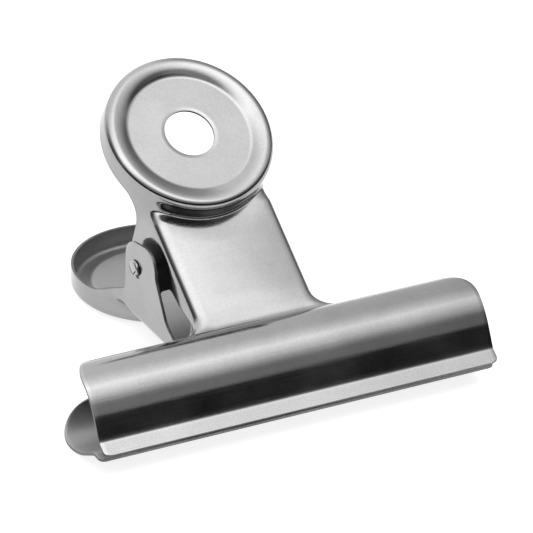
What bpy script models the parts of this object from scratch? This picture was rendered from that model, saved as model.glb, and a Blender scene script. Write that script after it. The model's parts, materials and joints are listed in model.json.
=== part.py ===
"""Steel bulldog clip: two stamped leaves hinged on a peened pin, with a coil spring that holds the jaws shut.

Units are metres, +Z is up. X runs along the jaws and the hinge. The clip lies on its lower leaf, the jaws towards
-Y and the thumb pads towards +Y. Each leaf is modelled about the hinge axis with its outer face towards +Y and its
pad up, and is then turned into place.
"""

import math

import bmesh
import bpy
from mathutils import Matrix, Vector

MM = 0.001

SHEET = 0.5 * MM                 # thickness of the stamped sheet
JAW_WIDTH = 76.0 * MM
JAW_CORNER = 8.2 * MM            # rounding of the free upper corners of a jaw bar
SIDE_PLAY = 0.3 * MM             # each leaf sits this far off the middle, to its own side
LEAN = math.radians(17.5)        # a closed leaf's neck leans this far out from the middle plane

# Jaw bar section, from the lip upwards, as the outer face of the sheet.
LIP_TIP = (0.65 * MM, -40.1 * MM)
LIP_LENGTH = 2.4 * MM
LIP_FLARE = math.radians(17.0)
UNDERCUT_LENGTH = 7.0 * MM
UNDERCUT_FLARE = math.radians(40.3)
BULGE_RADIUS = 6.85 * MM
BULGE_TURN = math.radians(84.7)
CURL_RADIUS = 3.1 * MM
CURL_TURN = math.radians(25.5)
NECK_BEND_RADIUS = 1.2 * MM

# Neck, ears and pad, measured along the neck (u) and out from it (n), from the hinge axis.
NECK_STAND_OFF = 10.3 * MM
NECK_HALF_WIDTH = {"upper": 11.6 * MM, "lower": 12.7 * MM}
NECK_FLARE = 3.0 * MM
PAD_CENTRE = 16.9 * MM
PAD_RADIUS = 15.3 * MM
PAD_CROWN = 14.3 * MM
PAD_BEAD = 1.75 * MM             # radius of the rolled rim
PAD_RECESS = 1.1 * MM
PAD_RECESS_RADIUS = 11.0 * MM
PAD_HOLE_RADIUS = 4.5 * MM
PAD_BACK = 9.85 * MM             # free edge of the pad's skirt
NECK_FOOT_DROP = 1.5 * MM        # how far the neck's strip runs on below the bar's top edge

# Ears, in the (n, u) plane. The upper leaf's ears lie inside the lower leaf's.
EAR_BORE_RADIUS = 1.6 * MM
UPPER_EAR_TIP = (0.3 * MM, -0.2 * MM)
UPPER_EAR_RADIUS = 5.4 * MM
UPPER_EAR_SHOULDER = [(10.2 * MM, 7.6 * MM), (6.8 * MM, 6.9 * MM), (3.5 * MM, 5.8 * MM)]
UPPER_EAR_HEEL = [(4.0 * MM, -6.3 * MM), (5.6 * MM, -8.0 * MM), (6.3 * MM, -11.0 * MM), (8.2 * MM, -17.4 * MM)]
LOWER_EAR_TIP = (-0.7 * MM, 0.0)
LOWER_EAR_RADIUS = 4.0 * MM
LOWER_EAR_CORNER = (-1.7 * MM, -4.6 * MM)
LOWER_EAR_CORNER_RADIUS = 3.0 * MM
LOWER_EAR_FOOT = (6.9 * MM, -14.2 * MM)

PIN_RADIUS = 1.25 * MM
PIN_HEAD_RADIUS = 2.2 * MM
PIN_HEAD_HEIGHT = 0.7 * MM
GAP = 0.3 * MM
CLEAR_STEP = 0.05 * MM            # keeps the faces of joined shapes from lying in one plane

WIRE_RADIUS = 0.7 * MM
COIL_RADIUS = 4.2 * MM
COIL_WHOLE_TURNS = 8
COIL_PITCH = 1.8 * MM
COIL_STEPS = 16                  # points in one turn
LEG_LENGTH = 13.3 * MM
LEG_ANGLE = math.radians(56.0)   # from the middle plane out to each leg

X = Vector((1, 0, 0))
Y = Vector((0, 1, 0))
Z = Vector((0, 0, 1))
ALONG_NECK = Vector((0, math.sin(LEAN), math.cos(LEAN)))
OUT_OF_NECK = Vector((0, math.cos(LEAN), -math.sin(LEAN)))

PARTS = "bulldog_clip"
CUTTERS = "cutters"


# ---- scene and small helpers ----

def clear_scene():
    for obj in list(bpy.data.objects):
        bpy.data.objects.remove(obj, do_unlink=True)
    for name in (PARTS, CUTTERS):
        bpy.context.scene.collection.children.link(bpy.data.collections.new(name))


def steel(name, colour, roughness):
    material = bpy.data.materials.new(name)
    material.use_nodes = True
    shader = material.node_tree.nodes["Principled BSDF"]
    shader.inputs["Base Color"].default_value = (*colour, 1.0)
    shader.inputs["Metallic"].default_value = 1.0
    shader.inputs["Roughness"].default_value = roughness
    return material


def add_object(name, data, collection=PARTS):
    obj = bpy.data.objects.new(name, data)
    bpy.data.collections[collection].objects.link(obj)
    return obj


def as_mesh(curve_object, name, collection):
    """The curve object as a mesh in the leaf's own axes, with its caps welded. The curve is removed."""
    bpy.context.view_layer.update()
    graph = bpy.context.evaluated_depsgraph_get()
    mesh = bpy.data.meshes.new_from_object(curve_object.evaluated_get(graph))
    mesh.transform(curve_object.matrix_world)
    bpy.data.objects.remove(curve_object, do_unlink=True)
    edit = bmesh.new()
    edit.from_mesh(mesh)
    bmesh.ops.remove_doubles(edit, verts=edit.verts, dist=1e-7)
    bmesh.ops.recalc_face_normals(edit, faces=edit.faces)
    edit.to_mesh(mesh)
    edit.free()
    return add_object(name, mesh, collection)


def plate(name, outline, thickness, matrix, collection=CUTTERS):
    """A flat plate: the outline in local X and Y, centred on local Z, placed by the matrix."""
    curve = bpy.data.curves.new(name, "CURVE")
    curve.dimensions = "2D"
    curve.fill_mode = "BOTH"
    curve.extrude = thickness / 2
    spline = curve.splines.new("POLY")
    spline.points.add(len(outline) - 1)
    for point, (x, y) in zip(spline.points, outline):
        point.co = (x, y, 0.0, 1.0)
    spline.use_cyclic_u = True
    guide = add_object(name + "_outline", curve, collection)
    guide.matrix_world = matrix
    return as_mesh(guide, name, collection)


def boolean(target, operation, tool):
    tool.hide_render = True
    tool.display_type = "WIRE"
    modifier = target.modifiers.new(tool.name, "BOOLEAN")
    modifier.operation = operation
    modifier.object = tool


def bake(obj):
    """The object with its modifiers applied, so that a later Boolean works on the result."""
    bpy.context.view_layer.update()
    graph = bpy.context.evaluated_depsgraph_get()
    mesh = bpy.data.meshes.new_from_object(obj.evaluated_get(graph))
    obj.modifiers.clear()
    obj.data = mesh


def smooth(obj, angle=math.radians(30)):
    obj.data.shade_smooth()
    obj.data.set_sharp_from_angle(angle=angle)


# ---- paths and outlines ----

def arc(centre, radius, start, end, steps):
    """Points on a circle from one angle to another, both included."""
    turn = (end - start) / steps
    return [
        (centre[0] + radius * math.cos(start + i * turn), centre[1] + radius * math.sin(start + i * turn))
        for i in range(steps + 1)
    ]


def walk(start, heading, moves):
    """Points of a path in the (out, up) plane. A move is (length, turn, steps), the heading is from up to out."""
    points = [start]
    for length, turn, steps in moves:
        for _ in range(steps):
            middle = heading + turn / steps / 2
            out, up = points[-1]
            step = length / steps
            points.append((out + step * math.sin(middle), up + step * math.cos(middle)))
            heading += turn / steps
    return points


def offset(points, distance):
    """The path moved sideways, to the left of its direction of travel, with mitred corners."""
    moved = []
    for i, (x, y) in enumerate(points):
        before = Vector(points[max(i - 1, 0)])
        after = Vector(points[min(i + 1, len(points) - 1)])
        here = Vector((x, y))
        sides = [v.normalized() for v in (here - before, after - here) if v.length > 0]
        normals = [Vector((-side.y, side.x)) for side in sides]
        mean = (normals[0] + normals[-1]).normalized()
        moved.append(tuple(here + mean * distance / mean.dot(normals[0])))
    return moved


def sheet_section(face, thickness):
    """The closed outline of a sheet whose face is the given path."""
    return face + offset(face, thickness)[::-1]


def undercut_face():
    """The lip and the straight undercut above it."""
    bend = UNDERCUT_FLARE - LIP_FLARE
    moves = [(LIP_LENGTH, 0.0, 1), (SHEET * bend * 2, bend, 2), (UNDERCUT_LENGTH, 0.0, 1)]
    return walk(LIP_TIP, LIP_FLARE, moves)


def jaw_face():
    face = undercut_face()
    moves = [(BULGE_RADIUS * BULGE_TURN, -BULGE_TURN, 14), (CURL_RADIUS * CURL_TURN, -CURL_TURN, 4)]
    return face + walk(face[-1], UNDERCUT_FLARE, moves)[1:]


def jaw_top_heading():
    return UNDERCUT_FLARE - BULGE_TURN - CURL_TURN


def neck_to_leaf(u, n):
    """(out, up) about the hinge from (along the neck, out from the neck)."""
    return (u * math.sin(LEAN) + n * math.cos(LEAN), u * math.cos(LEAN) - n * math.sin(LEAN))


def neck_face():
    """The middle strip's outer face: the top of the jaw, the hollow bend and the flat neck."""
    end = Vector(jaw_face()[-1])
    heading = jaw_top_heading()
    along = Vector((math.sin(heading), math.cos(heading)))
    up_neck = Vector((math.sin(LEAN), math.cos(LEAN)))
    on_neck = Vector(neck_to_leaf(0.0, NECK_STAND_OFF))
    reach = (on_neck - end).cross(up_neck) / along.cross(up_neck)
    corner = end + along * reach
    turn = LEAN - heading
    cut_back = NECK_BEND_RADIUS * math.tan(turn / 2)
    bend_start = corner - along * cut_back
    bend = walk(tuple(bend_start), heading, [(NECK_BEND_RADIUS * turn, turn, 6)])
    top = neck_to_leaf(PAD_CENTRE - PAD_RADIUS / 2, NECK_STAND_OFF)
    approach = [point for point in jaw_face()[-5:] if point[0] > bend_start.x + SHEET / 4]
    return approach + bend + [top]


def jaw_plan():
    """The bar seen from its outer side: square below, with its two upper corners rounded along the sheet."""
    face = jaw_face()
    lengths = [0.0]
    for first, second in zip(face, face[1:]):
        lengths.append(lengths[-1] + (Vector(second) - Vector(first)).length)
    half = JAW_WIDTH / 2
    corner_start = lengths[-1] - JAW_CORNER
    side = [(half, LIP_TIP[1] - 2 * MM)]
    for (_, up), length in zip(face, lengths):
        rise = length - corner_start
        if rise > 0:
            back = JAW_CORNER - math.sqrt(max(JAW_CORNER**2 - rise**2, 0.0))
            side.append((half - back, up))
    side.append((side[-1][0], side[-1][1] + 1 * MM))
    return side + [(-x, up) for x, up in reversed(side)]


def neck_plan(half):
    """The middle strip in the (x, u) plane: flared where it runs into the bar, hollow where it meets the pad."""
    foot = neck_foot() - NECK_FOOT_DROP
    side = [(half + NECK_FLARE, foot)]
    side += arc((half + NECK_FLARE, foot + NECK_FLARE + 2 * SHEET), NECK_FLARE, math.radians(270), math.pi, 6)
    rim = PAD_RADIUS - SHEET / 2
    corner = math.acos(half / rim)
    under_pad = arc((0.0, PAD_CENTRE), rim, -corner, corner - math.pi, 24)
    return side + under_pad + [(-x, u) for x, u in reversed(side)]


def neck_foot():
    """How far down the neck the bar's free top edge lies."""
    out, up = jaw_face()[-1]
    return out * math.sin(LEAN) + up * math.cos(LEAN)


def ear_outline(which):
    """An ear in the (n, u) plane: up from the neck's face, round the hinge and back down to the neck's foot."""
    root = NECK_STAND_OFF - 2 * CLEAR_STEP
    back_at_neck = -17.4 * MM
    if which == "lower":
        tip = arc(LOWER_EAR_TIP, LOWER_EAR_RADIUS, math.radians(90), math.radians(180), 8)
        corner = arc(LOWER_EAR_CORNER, LOWER_EAR_CORNER_RADIUS, math.radians(180), math.radians(305), 6)
        return [(root, LOWER_EAR_RADIUS)] + tip + corner + [LOWER_EAR_FOOT, (root, back_at_neck)]
    tip = arc(UPPER_EAR_TIP, UPPER_EAR_RADIUS, math.radians(90), math.radians(270), 14)
    return UPPER_EAR_SHOULDER + tip + UPPER_EAR_HEEL + [(root, back_at_neck)]


def pad_section():
    """The pad's sheet from the hole outwards, as (radius, n): flat recess, raised rolled rim and skirt."""
    floor = PAD_CROWN - PAD_RECESS
    crest = PAD_RADIUS - PAD_BEAD
    foot = PAD_RECESS_RADIUS + SHEET
    face = [(PAD_HOLE_RADIUS, floor), (PAD_RECESS_RADIUS - SHEET, floor), (foot, floor + PAD_RECESS / 3)]
    face += [(crest - PAD_BEAD / 2, PAD_CROWN - SHEET / 2)]
    face += arc((crest, PAD_CROWN - PAD_BEAD), PAD_BEAD, math.radians(90), 0.0, 6)
    face += [(PAD_RADIUS, PAD_BACK)]
    return sheet_section(face, -SHEET)


# ---- placing ----

def axes(x_axis, y_axis, z_axis, origin=(0.0, 0.0, 0.0)):
    matrix = Matrix((x_axis, y_axis, z_axis)).transposed().to_4x4()
    matrix.translation = origin
    return matrix


def turned(name, section, matrix, steps, collection):
    """A solid of revolution: the section is (radius, height) about the matrix's Z axis."""
    mesh = bpy.data.meshes.new(name)
    points = [(radius, 0.0, height) for radius, height in section]
    closed = section[0][0] > 0 and section[-1][0] > 0
    count = len(points)
    edges = [(i, i + 1) for i in range(count - 1)] + ([(count - 1, 0)] if closed else [])
    mesh.from_pydata(points, edges, [])
    obj = add_object(name, mesh, collection)
    screw = obj.modifiers.new("Turn", "SCREW")
    screw.axis = "Z"
    screw.steps = screw.render_steps = steps
    screw.use_merge_vertices = True
    screw.merge_threshold = 1e-6
    bake(obj)
    edit = bmesh.new()
    edit.from_mesh(obj.data)
    bmesh.ops.remove_doubles(edit, verts=edit.verts, dist=1e-7)
    bmesh.ops.recalc_face_normals(edit, faces=edit.faces)
    edit.to_mesh(obj.data)
    edit.free()
    obj.data.transform(matrix)
    return obj


# ---- the pieces ----

def make_leaf(name, which, material):
    """One stamped leaf in its own axes: jaw bar, neck, two ears and the dished pad, as one sheet."""
    half = NECK_HALF_WIDTH[which]
    section_axes = axes(Y, Z, X)
    plan_axes = axes(X, Z, -Y)
    neck_axes = axes(X, ALONG_NECK, -OUT_OF_NECK)

    leaf = plate(name, sheet_section(jaw_face(), SHEET), JAW_WIDTH, section_axes, PARTS)
    trim = plate(name + "_trim", jaw_plan(), 60 * MM, plan_axes)
    boolean(leaf, "INTERSECT", trim)
    bake(leaf)

    strip_face = offset(neck_face(), CLEAR_STEP)
    strip = plate(name + "_neck", sheet_section(strip_face, SHEET), 2 * (half + NECK_FLARE), section_axes)
    strip_trim = plate(name + "_neck_trim", neck_plan(half - CLEAR_STEP), 60 * MM, neck_axes)
    boolean(strip, "INTERSECT", strip_trim)
    bake(strip)
    boolean(leaf, "UNION", strip)
    bake(leaf)

    for side, label in ((-1, "left"), (1, "right")):
        place = axes(OUT_OF_NECK, ALONG_NECK, -X, X * side * (half - SHEET / 2))
        ear = plate(f"{name}_{label}_ear", ear_outline(which), SHEET, place)
        boolean(leaf, "UNION", ear)
        bake(leaf)

    pad_axes = axes(X, -ALONG_NECK, OUT_OF_NECK, ALONG_NECK * PAD_CENTRE)
    pad = turned(name + "_pad", pad_section(), pad_axes, 64, CUTTERS)
    boolean(leaf, "UNION", pad)
    bake(leaf)

    bore = turned(name + "_bore", rod_section(EAR_BORE_RADIUS, 40 * MM), axes(Y, Z, X), 24, CUTTERS)
    boolean(leaf, "DIFFERENCE", bore)
    bake(leaf)
    leaf.data.materials.clear()
    leaf.data.materials.append(material)
    smooth(leaf)
    return leaf


def rod_section(radius, length):
    return [(0.0, length / 2), (radius, length / 2), (radius, -length / 2), (0.0, -length / 2)]


def make_pin(material):
    """The hinge pin: a plain shank with a domed head peened over outside each lower ear."""
    reach = NECK_HALF_WIDTH["lower"] + GAP
    half_head = []
    for i in range(5):
        angle = math.radians(90 - 22.5 * i)
        half_head.append((PIN_HEAD_RADIUS * math.cos(angle), reach + PIN_HEAD_HEIGHT * math.sin(angle)))
    half_head += [(PIN_RADIUS, reach)]
    section = half_head + [(radius, -height) for radius, height in reversed(half_head)]
    pin = turned("pivot_pin", section, axes(Y, Z, X), 32, PARTS)
    pin.data.materials.append(material)
    smooth(pin, math.radians(40))
    return pin


def spring_path():
    """The coil's middle line round the hinge. It starts where the upper leg leaves it and ends at the lower leg."""
    start = math.pi + LEG_ANGLE
    sweep = 2 * math.pi * COIL_WHOLE_TURNS - math.pi - 2 * LEG_ANGLE
    turns = sweep / (2 * math.pi)
    steps = round(turns * COIL_STEPS)
    coil = []
    for i in range(steps + 1):
        share = i / steps
        angle = start + share * sweep
        across = (share - 0.5) * turns * COIL_PITCH
        coil.append(Vector((across, COIL_RADIUS * math.cos(angle), COIL_RADIUS * math.sin(angle))))
    return coil


def make_spring(material):
    coil = spring_path()
    upper_way = Vector((0.0, -math.sin(LEG_ANGLE), math.cos(LEG_ANGLE)))
    lower_way = Vector((0.0, math.sin(LEG_ANGLE), math.cos(LEG_ANGLE)))
    path = [coil[0] + upper_way * LEG_LENGTH] + coil + [coil[-1] + lower_way * LEG_LENGTH]
    curve = bpy.data.curves.new("torsion_spring", "CURVE")
    curve.dimensions = "3D"
    curve.bevel_depth = WIRE_RADIUS
    curve.bevel_resolution = 2
    curve.use_fill_caps = True
    spline = curve.splines.new("POLY")
    spline.points.add(len(path) - 1)
    for point, place in zip(spline.points, path):
        point.co = (*place, 1.0)
    spring = add_object("torsion_spring", curve)
    curve.materials.append(material)
    return spring


# ---- the clip ----

def lying_angle():
    """The angle from the leaf's up axis to the surface that the bulge and the pad's rim both rest on."""
    sideways = Vector((-math.cos(UNDERCUT_FLARE), math.sin(UNDERCUT_FLARE)))
    bulge = Vector(undercut_face()[-1]) + BULGE_RADIUS * sideways
    rim = Vector(neck_to_leaf(PAD_CENTRE + PAD_RADIUS - PAD_BEAD, PAD_CROWN - PAD_BEAD))
    apart = rim - bulge
    return math.atan2(apart.x, apart.y) - math.asin((BULGE_RADIUS - PAD_BEAD) / apart.length)


def main():
    clear_scene()
    bright = steel("bright_steel", (0.62, 0.62, 0.62), 0.3)
    lower_steel = steel("bright_steel_lower", (0.62, 0.62, 0.62), 0.3)
    pin_steel = steel("pin_steel", (0.5, 0.5, 0.5), 0.35)
    spring_steel = steel("spring_steel", (0.35, 0.35, 0.36), 0.4)

    hinge = add_object("hinge", None)
    lower = make_leaf("lower_leaf", "lower", lower_steel)
    upper = make_leaf("upper_leaf", "upper", bright)
    pin = make_pin(pin_steel)
    spring = make_spring(spring_steel)
    lower.location.x = -SIDE_PLAY
    upper.location.x = SIDE_PLAY
    upper.rotation_euler.z = math.pi
    pin.location.x = -SIDE_PLAY
    for obj in (lower, upper, pin, spring):
        obj.parent = hinge
    hinge.rotation_euler.x = lying_angle() - math.radians(90)
    rest_on_ground(hinge, (lower, upper, pin))


def rest_on_ground(hinge, pieces):
    """Moves the hinge so that the clip stands on Z = 0 with the middle of its box over the origin."""
    bpy.context.view_layer.update()
    corners = [obj.matrix_world @ vertex.co for obj in pieces for vertex in obj.data.vertices]
    low = Vector([min(c[i] for c in corners) for i in range(3)])
    high = Vector([max(c[i] for c in corners) for i in range(3)])
    hinge.location = -Vector(((low.x + high.x) / 2, (low.y + high.y) / 2, low.z))


main()
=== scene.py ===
"""Looks of the steel bulldog clip: each leaf as one smooth pressed sheet, the staked hinge pin and the coil
spring.

Leaf shapes are written in millimetres in the leaf's own axes: x along the jaws, u along the neck towards the
thumb pad, n out of the neck, all from the hinge axis. A leaf is built as the outer face of its sheet and then
thickened.
"""

import json
import math
import bmesh
import bpy
import numpy as np
from mathutils import Matrix, Vector


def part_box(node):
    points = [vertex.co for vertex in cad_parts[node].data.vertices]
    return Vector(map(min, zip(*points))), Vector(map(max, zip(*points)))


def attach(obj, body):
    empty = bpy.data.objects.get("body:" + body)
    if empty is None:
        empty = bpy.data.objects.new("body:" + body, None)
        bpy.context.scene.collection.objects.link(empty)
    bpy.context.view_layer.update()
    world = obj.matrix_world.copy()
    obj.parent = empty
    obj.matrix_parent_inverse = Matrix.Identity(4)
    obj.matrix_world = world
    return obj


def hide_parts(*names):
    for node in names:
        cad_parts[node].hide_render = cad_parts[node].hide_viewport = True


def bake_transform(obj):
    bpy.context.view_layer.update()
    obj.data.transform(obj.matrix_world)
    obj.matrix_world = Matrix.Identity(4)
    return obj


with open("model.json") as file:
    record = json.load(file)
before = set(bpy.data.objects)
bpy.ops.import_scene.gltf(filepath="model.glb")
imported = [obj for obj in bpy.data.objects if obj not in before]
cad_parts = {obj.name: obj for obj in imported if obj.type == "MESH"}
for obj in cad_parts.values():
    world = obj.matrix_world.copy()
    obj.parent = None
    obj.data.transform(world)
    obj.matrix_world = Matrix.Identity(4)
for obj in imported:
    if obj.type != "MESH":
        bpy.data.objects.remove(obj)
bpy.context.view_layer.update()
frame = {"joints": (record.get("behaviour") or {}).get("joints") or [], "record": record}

RECORD = frame["record"]
MM = 0.001

# ---- driving dimensions, in millimetres ----

SHEET = 0.5
EDGE_ROUND = 0.07

PAD_CENTRE = 16.9
PAD_RADIUS = 15.3
PAD_CROWN = 14.3
BEAD_RADIUS = 1.35
RECESS_DEPTH = 0.82
RECESS_RADIUS = 11.0
HOLLOW_SHARE = 0.22      # share of the recess's slope that is hollow, at its foot
PAD_HOLE = 4.5
SKIRT_BACK = 9.95

NECK_FACE = 10.3
NECK_BEND = 1.6
NECK_CROWN = 0.2
HALF_WIDTH = {"upper": 11.5, "lower": 12.7}
STEP_FILLET = 0.25
FLARE = 4.0
FOOT_LANDING = 0.4       # where the hollow at the neck's foot lands, down the bar from its top edge
TOP_BLEND = 1.2          # how far down the bar that hollow is blended in
LEAST_ROW = 0.1          # least length of a mesh row down the neck near its foot
# Distances down the bar from its top edge, first beside the neck's foot and then TAIL_RUN further out: where
# the blend rows start, and where the sheet ends.
TAIL_START = (-0.5, 0.25)
TAIL_EDGE = (-1.5, 0.0)
TAIL_RUN = 3.0

JAW_HALF = 38.0
JAW_CORNER = 8.2
LIP_CORNER = 1.0
LIP_TIP = (-38.05, 12.68)
LIP_HEADING = math.radians(-0.5)
LIP = 2.4
LIP_BEND = 0.45
LIP_BEND_TURN = math.radians(28.0)
UNDERCUT = 3.75
BELLY_RADIUS = 14.0
BELLY_TURN = math.radians(19.5)
BULGE_RADIUS = 7.0
BULGE_TURN = math.radians(69.9)
CURL_RADIUS = 3.1
CURL_TURN = math.radians(25.5)
TAIL = 2.5

EAR_BORE = {"upper": 1.6, "lower": 1.75}
BORE_WEAR = {"upper": 0.0, "lower": 0.35}     # the outer ears' holes are worn this far towards the jaws

PIN_RADIUS = 1.5
PIN_SHANK = 1.25
PIN_INSET = 0.25
STAKE_SLOPE = 0.16       # each end of the pin falls away like a roof from a ridge,
STAKE_RIDGE = 0.3        # which is this far above its axis,
STAKE_DEPTH = 0.3        # over the last of its length
# The crack in each end, as wedges: (y, z) of the middle, (y, z) size and degrees about X.
STAKE_CRACK = (((-0.75, -0.35), (0.22, 1.5), 42), ((-1.3, -0.75), (0.6, 0.5), 0))
CRACK_DEPTH = 1.1

WIRE_RADIUS = 0.7
COIL_RADIUS = 4.2
COIL_TURNS = 8
COIL_PITCH = 1.8
LEG_LENGTH = 13.3
LEG_ANGLE = math.radians(56.0)

# Free edge of each ear below the neck's bend, from the pad's skirt to the neck's foot, as (u, n, corner
# radius, u of the point on the bend that it lies below).
EARS = {
    "upper": [(6.9, 6.4, 0.0, 6.9), (6.5, 3.6, 3.0, 6.2), (5.3, -5.6, 5.2, 3.2), (-6.0, -5.3, 5.2, -3.0),
              (-6.0, 1.2, 1.5, -5.6), (-7.9, 5.8, 1.6, -8.2), (-11.5, 6.3, 3.0, -11.6),
              (-15.7, 8.0, 0.0, -15.7)],
    "lower": [(8.3, 7.4, 0.0, 8.3), (4.1, 6.4, 1.4, 4.0), (3.9, -4.2, 3.9, 2.4), (-7.0, -6.2, 3.4, -4.4),
              (-7.4, -1.2, 1.5, -6.6), (-11.6, 5.6, 2.6, -11.2), (-15.7, 8.0, 0.0, -15.7)],
}
SKIRT_DROP_ANGLE = math.radians(7.0)

# ---- mesh density ----

FACE_COLUMNS = 30
BEND_STEPS = 6
STEP_ROWS = 9
WALL_ROWS = 12
SKIRT_COLUMNS = 84
NECK_ROWS = 46
FLARE_STEPS = 9
FLARE_CORNER = 6
TRANSITION_STEPS = 6
JAW_COLUMNS = 26
FOOT_ROWS = 16
SLOPE_ROWS = 7
BEAD_ROWS = 10
BORE_STEPS = 40
PIN_STEPS = 48
COIL_STEPS = 40
LEG_STEPS = 12
WELD = 0.004
RELAX_ROUNDS = 24
# A point at distance d from a pressed corner moves by the share a - d / b, held between 0 and 1, as (a, b).
RELAX_AT_PAD = (1.6, 2.6)
RELAX_AT_FOOT = (1.5, 2.8)
RELAX_INNER = 0.7
RELAX_RIM = 0.5


# ---- small maths ----

def lerp(a, b, t):
    return a + (b - a) * t


def mix(first, second, t):
    return tuple(lerp(a, b, t) for a, b in zip(first, second))


def smooth_step(t):
    t = min(max(t, 0.0), 1.0)
    return t * t * (3 - 2 * t)


def walk(start, heading, moves):
    """A path in (u, n) as points in short steps. A move is (length, turn), and heading is from u to n."""
    points = [start]
    for length, turn in moves:
        steps = max(1, round(length / 0.05))
        for _ in range(steps):
            heading += turn / steps / 2
            u, n = points[-1]
            points.append((u + length / steps * math.cos(heading), n + length / steps * math.sin(heading)))
            heading += turn / steps / 2
    return points


def rounded(corners, steps=10):
    """A polyline whose inner corners are arcs, and where each corner is in it. A corner is (u, n, radius)."""
    path = [corners[0][:2]]
    marks = [0]
    for (u0, n0, _), (u, n, radius), (u1, n1, _) in zip(corners, corners[1:], corners[2:]):
        here = Vector((u, n))
        before = (Vector((u0, n0)) - here).normalized()
        after = (Vector((u1, n1)) - here).normalized()
        half = before.angle(after) / 2
        reach = radius / math.tan(half)
        centre = here + (before + after).normalized() * radius / math.sin(half)
        first, last = here + before * reach - centre, here + after * reach - centre
        turn = first.angle_signed(last)
        for i in range(steps + 1):
            path.append(tuple(centre + Matrix.Rotation(-turn * i / steps, 2) @ first))
        marks.append(len(path) - 1 - steps // 2)
    path.append(corners[-1][:2])
    return path, marks + [len(path) - 1]


class Path:
    """A polyline that gives its point at any distance along it."""

    def __init__(self, points):
        self.points = np.array(points, float)
        steps = np.linalg.norm(np.diff(self.points, axis=0), axis=1)
        self.at = np.concatenate([[0.0], np.cumsum(steps)])
        self.length = self.at[-1]

    def __call__(self, distance):
        return tuple(float(np.interp(distance, self.at, self.points[:, i])) for i in range(2))


# ---- the jaw bar's section ----

BELLY = BELLY_RADIUS * BELLY_TURN
BULGE = BULGE_RADIUS * BULGE_TURN
CURL = CURL_RADIUS * CURL_TURN
JAW_PATH = Path(walk(LIP_TIP, LIP_HEADING, [
    (LIP, 0.0), (LIP_BEND, LIP_BEND_TURN), (UNDERCUT, 0.0), (BELLY, -BELLY_TURN), (BULGE, -BULGE_TURN),
    (CURL, -CURL_TURN), (TAIL, 0.0)]))
JAW_LENGTH = JAW_PATH.length - TAIL


def jaw_point(down):
    """(u, n) on the bar's face, at a distance down from its free top edge. Below 0 it is in its tail."""
    return JAW_PATH(JAW_LENGTH - down)


def jaw_half(down):
    """Half the bar's length, at a distance down from its top edge. Its corners are rounded."""
    half = JAW_HALF
    if down < JAW_CORNER:
        half -= JAW_CORNER - math.sqrt(max(JAW_CORNER**2 - (JAW_CORNER - down) ** 2, 0.0))
    past = down - (JAW_LENGTH - LIP_CORNER)
    if past > 0:
        half -= LIP_CORNER - math.sqrt(max(LIP_CORNER**2 - past**2, 0.0))
    return half


def spread(start, end, step):
    count = max(1, round((end - start) / step))
    return [lerp(start, end, i / count) for i in range(count + 1)]


def jaw_rows():
    """Distances down the bar below the blend at its top edge, closer together where it bends."""
    bend = JAW_LENGTH - LIP - LIP_BEND
    flat = CURL + BULGE + BELLY
    marks = [(TOP_BLEND, CURL, 0.2), (CURL, flat, 0.42), (flat, bend, 0.8)]
    marks += [(bend, bend + LIP_BEND, 0.11), (bend + LIP_BEND, JAW_LENGTH - LIP_CORNER, 0.4)]
    marks += [(JAW_LENGTH - LIP_CORNER, JAW_LENGTH, 0.16)]
    rows = [TOP_BLEND]
    for start, end, step in marks:
        rows += spread(start, end, step)[1:]
    return rows


# ---- the sheet ----

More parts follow.
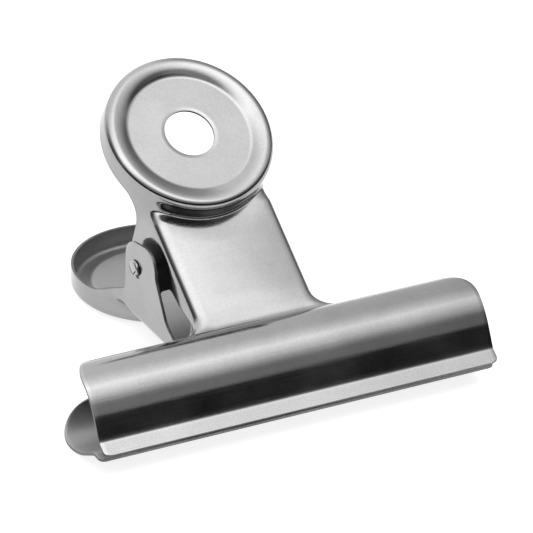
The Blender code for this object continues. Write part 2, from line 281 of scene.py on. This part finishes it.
class Sheet:
    """The outer face of one leaf, from patches of quads whose shared borders are welded."""

    def __init__(self, which):
        self.half = HALF_WIDTH[which]
        self.ear = EARS[which]
        self.points = []
        self.faces = []

    def patch(self, rows):
        start, width = len(self.points), len(rows[0])
        for row in rows:
            self.points.extend(row)
        for r in range(len(rows) - 1):
            for c in range(width - 1):
                a = start + r * width + c
                self.faces.append((a, a + 1, a + width + 1, a + width))

    def both(self, rows):
        """The patch and its mirror image across the leaf's middle."""
        self.patch(rows)
        self.patch([[(-x, u, n) for x, u, n in row] for row in rows])

    # columns across the neck where it meets the pad: (x, n, share of a full fillet)

    def columns(self):
        flat = self.half - NECK_BEND
        face = [(lerp(-flat, flat, i / FACE_COLUMNS), NECK_FACE, 1.0) for i in range(FACE_COLUMNS + 1)]
        side = []
        for k in range(1, BEND_STEPS + 1):
            turn = math.pi / 2 * k / BEND_STEPS
            x = flat + NECK_BEND * math.sin(turn)
            side.append((x, NECK_FACE - NECK_BEND * (1 - math.cos(turn)), math.cos(turn)))
        return [(-x, n, f) for x, n, f in reversed(side)] + face + side

    def step_point(self, column, share):
        """On the step from the pad's bead down to the neck, in one column."""
        x, n, full = column
        angle = math.asin(x / PAD_RADIUS)
        fillet = STEP_FILLET * full
        straight = PAD_CROWN - BEAD_RADIUS - n - fillet
        along = share * (straight + fillet * math.pi / 2)
        radius, height = PAD_RADIUS, PAD_CROWN - BEAD_RADIUS - along
        if along > straight and fillet > 0:
            turn = (along - straight) / fillet
            radius += fillet * (1 - math.cos(turn))
            height = n + fillet * (1 - math.sin(turn))
        return (radius * math.sin(angle), PAD_CENTRE - radius * math.cos(angle), height)

    def add_pad(self):
        columns = self.columns()
        junction = math.asin(self.half / PAD_RADIUS)
        around = [math.asin(x / PAD_RADIUS) for x, _, _ in columns]
        upper = [lerp(junction, 2 * math.pi - junction, i / SKIRT_COLUMNS) for i in range(SKIRT_COLUMNS + 1)]
        angles = around + upper[1:]
        self.patch([[(r * math.sin(a), PAD_CENTRE - r * math.cos(a), n) for a in angles]
                    for r, n in pad_profile()])
        self.patch([[self.step_point(column, k / STEP_ROWS) for column in columns]
                    for k in range(STEP_ROWS + 1)])

        top, turn_end = PAD_CROWN - BEAD_RADIUS, NECK_FACE - NECK_BEND
        levels = [lerp(top, turn_end, k / STEP_ROWS) for k in range(STEP_ROWS + 1)]
        levels += [lerp(turn_end, self.ear[0][1], k / WALL_ROWS) for k in range(1, WALL_ROWS + 1)]
        shares = [(top - n) / (top - self.ear[0][1]) for n in levels]
        skirt = []
        for share in shares:
            row = []
            for angle in upper:
                away = min(angle, 2 * math.pi - angle) - junction
                back = SKIRT_BACK - (SKIRT_BACK - self.ear[0][1]) * math.exp(-away / SKIRT_DROP_ANGLE)
                u = PAD_CENTRE - PAD_RADIUS * math.cos(angle)
                row.append((PAD_RADIUS * math.sin(angle), u, lerp(top, back, share)))
            skirt.append(row)
        self.patch(skirt)

    # stations down the side of the neck, round its flared foot and out along the bar

    def foot_level(self):
        return jaw_point(0.0)[0]

    def blend_rows(self, x):
        """The bar's face near its top edge at x: a hollow up to the neck, or the plain bar beside it."""
        (u0, n0), (u1, n1) = jaw_point(FOOT_LANDING - 0.01), jaw_point(FOOT_LANDING)
        tilt = math.atan2(n1 - n0, u0 - u1)
        radius = (n1 - NECK_FACE) / (1 - math.cos(tilt))
        centre = (u1 + radius * math.sin(tilt), NECK_FACE + radius)
        fillet = [(centre[0] - radius * math.sin(a), centre[1] - radius * math.cos(a))
                  for a in (tilt * i / 16 for i in range(17))]
        fillet += [jaw_point(lerp(FOOT_LANDING, TOP_BLEND, i / 4)) for i in range(1, 5)]
        middle = Path(fillet)
        start = lerp(*TAIL_START, smooth_step((x - self.half - FLARE) / TAIL_RUN))
        share = 1 - smooth_step((x - self.half + 0.5) / (FLARE + 0.5))
        rows = []
        for k in range(FOOT_ROWS + 1):
            t = k / FOOT_ROWS
            rows.append(mix(jaw_point(lerp(start, TOP_BLEND, t)), middle(middle.length * t), share))
        return rows

    def side_stations(self):
        """Each as ((x, u), outward direction, bend inset, n at the bend's start and end, free edge)."""
        foot = self.foot_level()
        junction = PAD_CENTRE - math.sqrt(PAD_RADIUS**2 - self.half**2)
        outline, marks = rounded([(junction, self.ear[0][1], 0.0)] + [corner[:3] for corner in self.ear[1:]])
        edge = Path(outline)
        above = [junction] + [corner[3] for corner in self.ear[1:-1]] + [foot + FLARE]
        bend_end = NECK_FACE - NECK_BEND
        stations = []
        for j in range(NECK_ROWS + 1):
            along = edge.length * j / NECK_ROWS
            u = float(np.interp(along, edge.at[marks], above))
            edge_u, edge_n = edge(along)
            free_edge = (self.half, edge_u, edge_n)
            stations.append(((self.half, u), (1.0, 0.0), NECK_BEND, NECK_FACE, bend_end, free_edge))
        edge_start = self.ear[-1][1]
        tail_n = jaw_point(TAIL_EDGE[0])[1]
        for j in range(1, FLARE_STEPS + 1):
            t = j / FLARE_STEPS
            angle = math.pi / 2 * t
            x = self.half + FLARE * (1 - math.cos(angle))
            u = foot + FLARE * (1 - math.sin(angle))
            to_corner = smooth_step(j / FLARE_CORNER)
            start_n = self.blend_rows(x)[0][1]
            n0 = lerp(NECK_FACE, start_n, to_corner)
            free = lerp(edge_start, tail_n, smooth_step(t))
            n1 = lerp(lerp(bend_end, free, 0.2), lerp(n0, free, 0.5), to_corner)
            inset = NECK_BEND * (1 - to_corner)
            stations.append(((x, u), (math.cos(angle), math.sin(angle)), inset, n0, n1, (x, u, free)))
        return stations

    def bend_start(self, station):
        (x, u), (out_x, out_u), inset, n0, _, _ = station
        return (x - out_x * inset, u - out_u * inset, n0)

    def slant(self, k, u):
        """How far the pad's round outline moves bend column k, at u on the bend's end: (x, u) to add."""
        column = self.columns()[k - BEND_STEPS - 1]
        top = self.step_point(column, 1.0)
        junction = PAD_CENTRE - math.sqrt(PAD_RADIUS**2 - self.half**2)
        foot = self.foot_level() + FLARE
        share = min(max((u - foot) / (junction - foot), 0.0), 1.0)
        return (top[0] - column[0]) * share**8, (top[1] - junction) * share

    def add_neck(self):
        columns = self.columns()[BEND_STEPS:-BEND_STEPS]
        stations = self.side_stations()
        last = NECK_ROWS + FLARE_CORNER
        first_u, last_u = stations[0][0][1], stations[last][0][1]

        def share_down(u):
            return (first_u - u) / (first_u - last_u)

        corner_x = stations[last][0][0]
        corner_u, corner_n = self.blend_rows(corner_x)[0]
        rows = []
        for j in range(last + 1):
            q = share_down(stations[j][0][1])
            side_x, side_u, side_n = self.bend_start(stations[j])
            slant_x, slant_u = self.slant(0, stations[j][0][1])
            side_x += slant_x
            side_u += slant_u
            if j == last:
                side_x, side_u, side_n = (corner_x, *self.blend_rows(corner_x)[0])
            top_side = self.step_point(columns[-1], 1.0)
            row = []
            for column in columns:
                share = column[0] / columns[-1][0]
                x = share * side_x
                top = self.step_point(column, 1.0)
                bottom_u, bottom_n = self.blend_rows(abs(x if j == last else share * corner_x))[0]
                if j == 0:
                    row.append(top)
                    continue
                fade = (1 - q) ** 1.5
                u = side_u + fade * (top[1] - top_side[1]) + q**6 * (bottom_u - corner_u)
                rise = (bottom_n - NECK_FACE) / (corner_n - NECK_FACE)
                n = bottom_n if j == last else NECK_FACE + (side_n - NECK_FACE) * rise
                crown = NECK_CROWN * (1 - share**2) * smooth_step(4 * q) * smooth_step(4 * (1 - q))
                row.append((x, u, n + crown))
            rows.append(row)
        for j in range(last - 1, last - FLARE_CORNER - 3, -1):
            rows[j][1:-1] = [(x, max(u, below[1] + LEAST_ROW), n)
                             for (x, u, n), below in zip(rows[j][1:-1], rows[j + 1][1:-1])]
        self.patch(rows)
        self.neck_foot_x = [point[0] for point in rows[-1]]
        self.add_side(stations, last)

    def add_side(self, stations, last):
        """The bend and the wall below it, down the neck, round its foot and along the bar's top edge."""
        step_columns = self.columns()[-BEND_STEPS - 1:]
        rows = []
        for j, station in enumerate(stations):
            (x, u), (out_x, out_u), inset, n0, n1, edge = station
            row = []
            for k in range(BEND_STEPS + 1):
                turn = math.pi / 2 * k / BEND_STEPS
                back = inset * (1 - math.sin(turn))
                slant_x, slant_u = self.slant(k, u)
                n = lerp(n1, n0, math.cos(turn))
                row.append((x - out_x * back + slant_x, u - out_u * back + slant_u, n))
            if j == 0:
                row = [self.step_point(column, 1.0) for column in step_columns]
            if j >= last:
                start_u, start_n = self.blend_rows(x)[0]
                row = [(x, lerp(start_u, u, smooth_step(k / BEND_STEPS)), lerp(start_n, n1, k / BEND_STEPS))
                       for k in range(BEND_STEPS + 1)]
            foot = row[-1]
            row += [mix(foot, edge, k / WALL_ROWS) for k in range(1, WALL_ROWS + 1)]
            rows.append(row)
        width = self.half + FLARE
        for i in range(1, TRANSITION_STEPS + 1):
            rows.append(self.tail_row(width + TAIL_RUN * i / TRANSITION_STEPS, width))
        for i in range(1, JAW_COLUMNS + 1):
            rows.append(self.tail_row(None, width, i / JAW_COLUMNS))
        self.both(rows)

    def tail_row(self, x, width, far=0.0):
        """The strip between the bar's free edge and its blend rows, at x or at a share of the way out."""
        place = width + TAIL_RUN if x is None else x
        t = smooth_step((place - width) / TAIL_RUN)
        start_at = lerp(*TAIL_START, t)
        edge_at = lerp(*TAIL_EDGE, t)
        count = BEND_STEPS + WALL_ROWS
        middle_at = lerp(start_at, edge_at, 0.5)
        row = []
        for k in range(count + 1):
            if k <= BEND_STEPS:
                down = lerp(start_at, middle_at, k / BEND_STEPS)
            else:
                down = lerp(middle_at, edge_at, (k - BEND_STEPS) / WALL_ROWS)
            here = place if x is not None else lerp(place, jaw_half(max(down, 0.0)), far)
            row.append((here, *jaw_point(down)))
        return row

    def add_bar(self):
        stations = self.side_stations()
        last = NECK_ROWS + FLARE_CORNER
        width = self.half + FLARE
        near = [abs(x) for x in self.neck_foot_x[FACE_COLUMNS // 2:]]
        near += [station[0][0] for station in stations[last + 1:]]
        near += [width + TAIL_RUN * i / TRANSITION_STEPS for i in range(1, TRANSITION_STEPS + 1)]
        shares = [i / JAW_COLUMNS for i in range(1, JAW_COLUMNS + 1)]
        rows = []
        for k in range(FOOT_ROWS + 1):
            down = lerp(TAIL_START[1], TOP_BLEND, k / FOOT_ROWS)
            row = [(x, *self.blend_rows(x)[k]) for x in near]
            row += [(lerp(width + TAIL_RUN, jaw_half(down), s), *jaw_point(down)) for s in shares]
            rows.append(row)
        for down in jaw_rows()[1:]:
            row = [(x, *jaw_point(down)) for x in near]
            row += [(lerp(width + TAIL_RUN, jaw_half(down), s), *jaw_point(down)) for s in shares]
            rows.append(row)
        self.both(rows)

    def relax(self, mesh):
        """Blends the pressed corners: points near them move towards the mean of their neighbours."""
        co = np.zeros(len(mesh.vertices) * 3)
        mesh.vertices.foreach_get("co", co)
        co = co.reshape(-1, 3)
        edges = np.array([edge.vertices[:] for edge in mesh.edges])
        used = np.zeros(len(edges), int)
        for polygon in mesh.polygons:
            for key in polygon.loop_indices:
                used[mesh.loops[key].edge_index] += 1
        rim = used == 1
        on_rim = np.zeros(len(co), bool)
        on_rim[edges[rim].ravel()] = True
        inner = ~on_rim
        junction = PAD_CENTRE - math.sqrt(PAD_RADIUS**2 - self.half**2)
        foot = self.foot_level()
        side = np.abs(co[:, 0])
        bead = np.clip((PAD_CROWN - BEAD_RADIUS - 0.3 - co[:, 2]) / 1.2, 0, 1)
        from_pad = np.hypot(side - self.half, co[:, 1] - junction)
        from_foot = np.hypot(side - self.half - 2, co[:, 1] - foot - 0.5)
        at_pad = np.clip(RELAX_AT_PAD[0] - from_pad / RELAX_AT_PAD[1], 0, 1) * bead
        at_foot = np.clip(RELAX_AT_FOOT[0] - from_foot / RELAX_AT_FOOT[1], 0, 1)
        at_foot *= co[:, 2] < NECK_FACE + 2.2
        weight = np.maximum(at_pad, at_foot)[:, None]
        count_rim = np.zeros(len(co))
        np.add.at(count_rim, edges[rim].ravel(), 1)
        count_all = np.zeros(len(co))
        np.add.at(count_all, edges.ravel(), 1)
        for _ in range(RELAX_ROUNDS):
            total = np.zeros_like(co)
            np.add.at(total, edges[:, 0], co[edges[:, 1]])
            np.add.at(total, edges[:, 1], co[edges[:, 0]])
            mean = total / count_all[:, None]
            total = np.zeros_like(co)
            np.add.at(total, edges[rim][:, 0], co[edges[rim][:, 1]])
            np.add.at(total, edges[rim][:, 1], co[edges[rim][:, 0]])
            mean[on_rim] = total[on_rim] / count_rim[on_rim][:, None]
            co += (mean - co) * weight * np.where(inner, RELAX_INNER, RELAX_RIM)[:, None]
        mesh.vertices.foreach_set("co", co.ravel())

    def mesh(self, name):
        self.add_pad()
        self.add_neck()
        self.add_bar()
        mesh = bpy.data.meshes.new(name)
        mesh.from_pydata(self.points, [], self.faces)
        edit = bmesh.new()
        edit.from_mesh(mesh)
        bmesh.ops.remove_doubles(edit, verts=edit.verts, dist=WELD)
        bmesh.ops.recalc_face_normals(edit, faces=edit.faces)
        edit.faces.ensure_lookup_table()
        flat = [f for f in edit.faces if abs(f.calc_center_median().z - NECK_FACE) < 0.01]
        if sum(face.normal.z for face in flat) < 0:
            bmesh.ops.reverse_faces(edit, faces=edit.faces)
        edit.to_mesh(mesh)
        edit.free()
        self.relax(mesh)
        return mesh


def pad_profile():
    """The pad's face as (radius, n): from its hole over the flat, up a slope and over the rolled rim."""
    floor = PAD_CROWN - RECESS_DEPTH
    crest = PAD_RADIUS - BEAD_RADIUS
    run = crest - RECESS_RADIUS
    steepest = 2 * math.atan2(RECESS_DEPTH, run)
    hollow = HOLLOW_SHARE * run / math.sin(steepest)
    sweep = run / math.sin(steepest) - hollow
    rows = [(r, floor) for r in spread(PAD_HOLE, RECESS_RADIUS - 0.25, 0.8)]
    for i in range(SLOPE_ROWS):
        angle = steepest * i / SLOPE_ROWS
        rows.append((RECESS_RADIUS + hollow * math.sin(angle), floor + hollow * (1 - math.cos(angle))))
    for i in range(SLOPE_ROWS):
        angle = steepest * (1 - i / SLOPE_ROWS)
        rows.append((crest - sweep * math.sin(angle), PAD_CROWN - sweep * (1 - math.cos(angle))))
    for i in range(BEAD_ROWS + 1):
        angle = math.pi / 2 * (1 - i / BEAD_ROWS)
        rows.append((crest + BEAD_RADIUS * math.cos(angle), PAD_CROWN - BEAD_RADIUS * (1 - math.sin(angle))))
    return rows


# ---- places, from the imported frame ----

def mount_axis(name):
    return Vector(next(mount["axis"] for mount in RECORD["mounts"] if mount["name"] == name)).normalized()


HINGE = Vector(frame["joints"][0]["pos_m"])


def leaf_matrix(which, node):
    """From the leaf's own axes in millimetres to the frame."""
    out = mount_axis(which + "_pad_face")
    across = Vector((1, 0, 0)) if which == "upper" else Vector((-1, 0, 0))
    along = out.cross(across)
    low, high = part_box(node)
    matrix = Matrix((across, along, out)).transposed().to_4x4() @ Matrix.Scale(MM, 4)
    matrix.translation = Vector(((low.x + high.x) / 2, HINGE.y, HINGE.z))
    return matrix


def add_object(name, mesh):
    obj = bpy.data.objects.new(name, mesh)
    bpy.context.scene.collection.objects.link(obj)
    return obj


def bake(obj):
    bpy.context.view_layer.update()
    mesh = bpy.data.meshes.new_from_object(obj.evaluated_get(bpy.context.evaluated_depsgraph_get()))
    obj.modifiers.clear()
    obj.data = mesh


def soften(obj, angle):
    obj.data.shade_smooth()
    obj.data.set_sharp_from_angle(angle=math.radians(angle))


def lathe(name, profile, steps):
    """A closed solid of revolution about X. The profile is (x, radius) from one end to the other."""
    rows = []
    for i in range(steps + 1):
        turn = 2 * math.pi * i / steps
        rows.append([(x, r * math.cos(turn), r * math.sin(turn)) for x, r in profile])
    mesh = bpy.data.meshes.new(name)
    width = len(profile)
    faces = [(r * width + c, r * width + c + 1, (r + 1) * width + c + 1, (r + 1) * width + c)
             for r in range(steps) for c in range(width - 1)]
    mesh.from_pydata([point for row in rows for point in row], [], faces)
    edit = bmesh.new()
    edit.from_mesh(mesh)
    bmesh.ops.remove_doubles(edit, verts=edit.verts, dist=0.001)
    bmesh.ops.dissolve_degenerate(edit, edges=edit.edges, dist=0.0005)
    bmesh.ops.recalc_face_normals(edit, faces=edit.faces)
    edit.to_mesh(mesh)
    edit.free()
    return mesh


def make_leaf(which, node, materials):
    sheet = Sheet(which)
    leaf = add_object(node + "_sheet", sheet.mesh(node + "_sheet"))
    for material in materials:
        leaf.data.materials.append(material)
    thick = leaf.modifiers.new("Thickness", "SOLIDIFY")
    thick.thickness = SHEET
    thick.offset = -1
    thick.use_even_offset = False
    thick.use_quality_normals = True
    thick.material_offset = 1
    thick.material_offset_rim = 2
    bake(leaf)
    edge = leaf.modifiers.new("Edges", "BEVEL")
    edge.width = EDGE_ROUND
    edge.segments = 2
    edge.limit_method = "ANGLE"
    edge.angle_limit = math.radians(60)
    bake(leaf)
    radius = EAR_BORE[which]
    reach = 2 * HALF_WIDTH[which]
    profile = [(-reach, 0.0), (-reach, radius), (reach, radius), (reach, 0.0)]
    bore = add_object(node + "_bore", lathe("bore", profile, BORE_STEPS))
    bore.location.y = -BORE_WEAR[which]
    cut = leaf.modifiers.new("Bore", "BOOLEAN")
    cut.object = bore
    cut.operation = "DIFFERENCE"
    bake(leaf)
    bpy.data.objects.remove(bore)
    leaf.data.transform(leaf_matrix(which, node))
    leaf.data.update()
    soften(leaf, 40)
    return leaf


def make_pin(material):
    """The hinge pin, staked at both ends: each end is squashed to a low roof and stands in its ear's hole."""
    low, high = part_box("pivot_pin")
    half = (high.x - low.x) / 2 / MM - PIN_INSET
    profile = [(half, 0.0), (half, PIN_RADIUS * 0.5), (half - 0.08, PIN_RADIUS * 0.88),
               (half - 0.22, PIN_RADIUS), (half - 0.9, PIN_RADIUS), (half - 1.1, PIN_SHANK)]
    profile = [(-x, r) for x, r in profile] + [(x, r) for x, r in reversed(profile)]
    pin = add_object("staked_pin", lathe("staked_pin", profile, PIN_STEPS))
    for vertex in pin.data.vertices:
        x, _, z = vertex.co
        if abs(x) > half - STAKE_DEPTH:
            vertex.co.x -= math.copysign(STAKE_SLOPE * abs(z - STAKE_RIDGE), x)
    slit = add_object("slit", slit_mesh(half))
    cut = pin.modifiers.new("Slit", "BOOLEAN")
    cut.object = slit
    cut.operation = "DIFFERENCE"
    bake(pin)
    bpy.data.objects.remove(slit)
    edge = pin.modifiers.new("Edges", "BEVEL")
    edge.width = EDGE_ROUND / 2
    edge.limit_method = "ANGLE"
    edge.angle_limit = math.radians(45)
    bake(pin)
    matrix = Matrix.Scale(MM, 4)
    matrix.translation = Vector(((low.x + high.x) / 2, HINGE.y, HINGE.z))
    pin.data.transform(matrix)
    pin.data.update()
    soften(pin, 35)
    pin.data.materials.clear()
    pin.data.materials.append(material)
    return pin


def slit_mesh(half):
    """Wedges that open a crack across each staked end, towards the jaws."""
    mesh = bpy.data.meshes.new("slit")
    edit = bmesh.new()
    for side in (-1, 1):
        for place, size, turn in STAKE_CRACK:
            matrix = Matrix.Translation((side * half, *place)) @ Matrix.Rotation(math.radians(turn), 4, "X")
            bmesh.ops.create_cube(edit, size=1.0, matrix=matrix @ Matrix.Diagonal((CRACK_DEPTH, *size, 1)))
    edit.to_mesh(mesh)
    edit.free()
    return mesh


def spring_route():
    """The wire's middle line about the hinge: upper leg, coil and lower leg."""
    start = math.pi + LEG_ANGLE
    sweep = 2 * math.pi * COIL_TURNS - math.pi - 2 * LEG_ANGLE
    turns = sweep / (2 * math.pi)
    steps = round(turns * COIL_STEPS)
    coil = []
    for i in range(steps + 1):
        angle = start + sweep * i / steps
        across = (i / steps - 0.5) * turns * COIL_PITCH
        coil.append(Vector((across, COIL_RADIUS * math.cos(angle), COIL_RADIUS * math.sin(angle))))
    upper_way = Vector((0, -math.sin(LEG_ANGLE), math.cos(LEG_ANGLE)))
    lower_way = Vector((0, math.sin(LEG_ANGLE), math.cos(LEG_ANGLE)))
    leg = [LEG_LENGTH * (1 - i / LEG_STEPS) for i in range(LEG_STEPS)]
    upper_leg = [coil[0] + upper_way * d for d in leg]
    return upper_leg + coil + [coil[-1] + lower_way * d for d in reversed(leg)]


def make_spring(material):
    opening = mount_axis("upper_pad_face") + mount_axis("lower_pad_face")
    curve = bpy.data.curves.new("coil_spring", "CURVE")
    curve.dimensions = "3D"
    curve.bevel_depth = WIRE_RADIUS * MM
    curve.bevel_resolution = 5
    curve.use_fill_caps = True
    spline = curve.splines.new("POLY")
    route = spring_route()
    spline.points.add(len(route) - 1)
    turn = Vector((0, 0, 1)).rotation_difference(-opening.normalized()).to_matrix()
    for point, place in zip(spline.points, route):
        point.co = (*(HINGE + turn @ place * MM), 1.0)
    guide = add_object("coil_guide", curve)
    bpy.context.view_layer.update()
    mesh = bpy.data.meshes.new_from_object(guide.evaluated_get(bpy.context.evaluated_depsgraph_get()))
    bpy.data.objects.remove(guide)
    spring = add_object("coil_spring", mesh)
    edit = bmesh.new()
    edit.from_mesh(mesh)
    bmesh.ops.remove_doubles(edit, verts=edit.verts, dist=1e-7)
    edit.to_mesh(mesh)
    edit.free()
    soften(spring, 50)
    mesh.materials.clear()
    mesh.materials.append(material)
    return spring


# ---- materials ----

def node_material(name):
    material = bpy.data.materials.new(name)
    material.use_nodes = True
    nodes, links = material.node_tree.nodes, material.node_tree.links
    return material, nodes, links, nodes["Principled BSDF"]


def noise(nodes, links, scale, stretch, detail=4.0, roughness=0.6):
    """A noise texture over the piece, in metres, drawn out by the stretch along X, Y and Z."""
    place = nodes.new("ShaderNodeTexCoord")
    mapping = nodes.new("ShaderNodeMapping")
    mapping.inputs["Scale"].default_value = stretch
    links.new(place.outputs["Object"], mapping.inputs["Vector"])
    texture = nodes.new("ShaderNodeTexNoise")
    texture.inputs["Scale"].default_value = scale
    texture.inputs["Detail"].default_value = detail
    texture.inputs["Roughness"].default_value = roughness
    links.new(mapping.outputs["Vector"], texture.inputs["Vector"])
    return texture.outputs["Fac"]


def span(nodes, links, value, low, high, from_low=0.3, from_high=0.7):
    scale = nodes.new("ShaderNodeMapRange")
    scale.inputs["From Min"].default_value = from_low
    scale.inputs["From Max"].default_value = from_high
    scale.inputs["To Min"].default_value = low
    scale.inputs["To Max"].default_value = high
    links.new(value, scale.inputs["Value"])
    return scale.outputs["Result"]


def steel(name, dark, bright, smoothest, roughest, grain):
    """Steel: soft clouding, fine rolling lines along X and a faint orange-peel grain."""
    material, nodes, links, shader = node_material(name)
    shader.inputs["Metallic"].default_value = 1.0
    cloud = noise(nodes, links, 90.0, (1, 1, 1))
    lines = noise(nodes, links, 1500.0, (0.06, 1, 1), 3.0)
    speck = noise(nodes, links, 2600.0, (1, 1, 1), 2.0)
    ramp = nodes.new("ShaderNodeValToRGB")
    ramp.color_ramp.elements[0].position = 0.3
    ramp.color_ramp.elements[0].color = (dark, dark, dark, 1)
    ramp.color_ramp.elements[1].position = 0.7
    ramp.color_ramp.elements[1].color = (bright, bright, bright, 1)
    blend = nodes.new("ShaderNodeMath")
    blend.operation = "MULTIPLY_ADD"
    blend.inputs[1].default_value = 0.45
    links.new(speck, blend.inputs[0])
    links.new(span(nodes, links, cloud, 0.1, 0.45), blend.inputs[2])
    links.new(blend.outputs["Value"], ramp.inputs["Fac"])
    links.new(ramp.outputs["Color"], shader.inputs["Base Color"])
    links.new(span(nodes, links, cloud, smoothest, roughest), shader.inputs["Roughness"])
    bump = nodes.new("ShaderNodeBump")
    bump.inputs["Strength"].default_value = grain
    bump.inputs["Distance"].default_value = 0.00002
    links.new(lines, bump.inputs["Height"])
    fine = nodes.new("ShaderNodeBump")
    fine.inputs["Strength"].default_value = grain
    fine.inputs["Distance"].default_value = 0.00001
    links.new(speck, fine.inputs["Height"])
    links.new(bump.outputs["Normal"], fine.inputs["Normal"])
    links.new(fine.outputs["Normal"], shader.inputs["Normal"])
    return material


def floor_material():
    material, nodes, links, shader = node_material("pale_floor")
    shade = noise(nodes, links, 6.0, (1, 1, 1))
    ramp = nodes.new("ShaderNodeValToRGB")
    ramp.color_ramp.elements[0].color = (0.26, 0.26, 0.26, 1)
    ramp.color_ramp.elements[1].color = (0.3, 0.3, 0.3, 1)
    links.new(shade, ramp.inputs["Fac"])
    links.new(ramp.outputs["Color"], shader.inputs["Base Color"])
    shader.inputs["Roughness"].default_value = 0.9
    shader.inputs["Emission Color"].default_value = (1, 1, 1, 1)
    shader.inputs["Emission Strength"].default_value = FLOOR_GLOW
    return material


# ---- the pieces ----

SHEET_STEEL = steel("satin_plated_sheet", 0.29, 0.345, 0.11, 0.17, 0.3)
INNER_STEEL = steel("dull_inner_face", 0.3, 0.36, 0.42, 0.52, 0.4)
EDGE_STEEL = steel("sheared_edge", 0.1, 0.2, 0.4, 0.5, 0.5)
PIN_STEEL = steel("peened_pin_steel", 0.38, 0.52, 0.25, 0.38, 0.5)
SPRING_STEEL = steel("spring_wire", 0.2, 0.34, 0.3, 0.45, 0.4)

upper = make_leaf("upper", "upper_leaf", (SHEET_STEEL, INNER_STEEL, EDGE_STEEL))
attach(upper, "upper")
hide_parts("upper_leaf")

lower = make_leaf("lower", "lower_leaf", (SHEET_STEEL, INNER_STEEL, EDGE_STEEL))
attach(lower, "lower")
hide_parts("lower_leaf")

pin = make_pin(PIN_STEEL)
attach(pin, "lower")
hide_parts("pivot_pin")

spring = make_spring(SPRING_STEEL)
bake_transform(spring)
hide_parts("torsion_spring")


# ---- floor, light and camera ----

def make_floor():
    mesh = bpy.data.meshes.new("floor")
    mesh.from_pydata([(-3, -3, 0), (3, -3, 0), (3, 3, 0), (-3, 3, 0)], [], [(0, 1, 2, 3)])
    floor = add_object("floor", mesh)
    mesh.materials.append(floor_material())


def area_light(name, place, target, size, power):
    light = bpy.data.lights.new(name, "AREA")
    light.shape = "RECTANGLE"
    light.size, light.size_y = size
    light.energy = power
    lamp = add_object(name, light)
    lamp.location = place
    lamp.rotation_euler = (Vector(target) - Vector(place)).to_track_quat("-Z", "Y").to_euler()
    lamp.visible_glossy = False


def ramp_of(nodes, links, value, stops):
    """A colour ramp of greys. The stops are (position, brightness)."""
    ramp = nodes.new("ShaderNodeValToRGB")
    elements = ramp.color_ramp.elements
    elements[0].position, elements[1].position = stops[0][0], stops[-1][0]
    for position, _ in stops[1:-1]:
        elements.new(position)
    for element, (_, grey) in zip(elements, stops):
        element.color = (grey, grey, grey, 1)
    links.new(value, ramp.inputs["Fac"])
    return ramp.outputs["Color"]


# Brightness of the studio from the horizon in front of the jaws, over the top, to the horizon behind the
# pads, as (degrees, brightness): a dark room in front, a dim band, the softbox and a pale wall.
STUDIO_ARCH = [(0, 0.008), (27.3, 0.008), (28.3, 0.17), (42, 0.155), (47, 0.26), (52, 0.48), (58, 0.68),
               (63, 0.84), (74, 1.0), (82, 0.82), (99, 0.6), (113, 0.5), (180, 0.45)]
# The same from the left side (-X) to the right: the far sides are dark, and the softbox fades to the right.
STUDIO_SIDES = [(-1, 0.06), (-0.85, 0.12), (-0.7, 0.5), (-0.5, 0.95), (0, 1.0), (0.3, 1.0), (0.36, 0.93),
                (0.42, 0.75), (0.48, 0.52), (0.7, 0.36), (1, 0.12)]
STUDIO_STRENGTH = 3.1
# The floor is a lit table, so that shadows stay faint.
FLOOR_GLOW = 0.8


def studio_world():
    world = bpy.data.worlds.new("studio")
    bpy.context.scene.world = world
    world.use_nodes = True
    nodes, links = world.node_tree.nodes, world.node_tree.links
    place = nodes.new("ShaderNodeTexCoord")
    split = nodes.new("ShaderNodeSeparateXYZ")
    links.new(place.outputs["Generated"], split.inputs["Vector"])
    forward = nodes.new("ShaderNodeMath")
    forward.operation = "MULTIPLY"
    forward.inputs[1].default_value = -1.0
    links.new(split.outputs["Y"], forward.inputs[0])
    arch = nodes.new("ShaderNodeMath")
    arch.operation = "ARCTAN2"
    links.new(split.outputs["Z"], arch.inputs[0])
    links.new(forward.outputs["Value"], arch.inputs[1])
    over = span(nodes, links, arch.outputs["Value"], 0.0, 1.0, 0.0, math.pi)
    across = span(nodes, links, split.outputs["X"], 0.0, 1.0, -1.0, 1.0)
    product = nodes.new("ShaderNodeMix")
    product.data_type = "RGBA"
    product.blend_type = "MULTIPLY"
    product.inputs["Factor"].default_value = 1.0
    arch_stops = [(angle / 180, value) for angle, value in STUDIO_ARCH]
    side_stops = [((x + 1) / 2, value) for x, value in STUDIO_SIDES]
    links.new(ramp_of(nodes, links, over, arch_stops), product.inputs["A"])
    links.new(ramp_of(nodes, links, across, side_stops), product.inputs["B"])
    background = nodes["Background"]
    links.new(product.outputs["Result"], background.inputs["Color"])
    background.inputs["Strength"].default_value = STUDIO_STRENGTH


CAMERA_PLACE = (-0.343, -0.637, 0.424)
CAMERA_RIGHT = (0.884, -0.467, 0.037)
CAMERA_BACK = (-0.423, -0.761, 0.4925)
CAMERA_LENS = 321.7


def make_camera():
    camera = bpy.data.cameras.new("camera")
    camera.sensor_width = 36.0
    camera.lens = CAMERA_LENS
    camera.clip_start = 0.05
    obj = add_object("camera", camera)
    right = Vector(CAMERA_RIGHT).normalized()
    back = Vector(CAMERA_BACK).normalized()
    up = back.cross(right).normalized()
    right = up.cross(back)
    matrix = Matrix((right, up, back)).transposed().to_4x4()
    matrix.translation = CAMERA_PLACE
    obj.matrix_world = matrix
    bpy.context.scene.camera = obj


make_floor()
studio_world()
area_light("key", (0.15, 0.1, 0.9), (0, 0, 0), (1.2, 1.2), 7.5)
area_light("fill", (-0.7, -0.4, 0.6), (0, 0, 0), (0.9, 0.9), 2.5)
make_camera()
bpy.context.scene.view_settings.view_transform = "Standard"
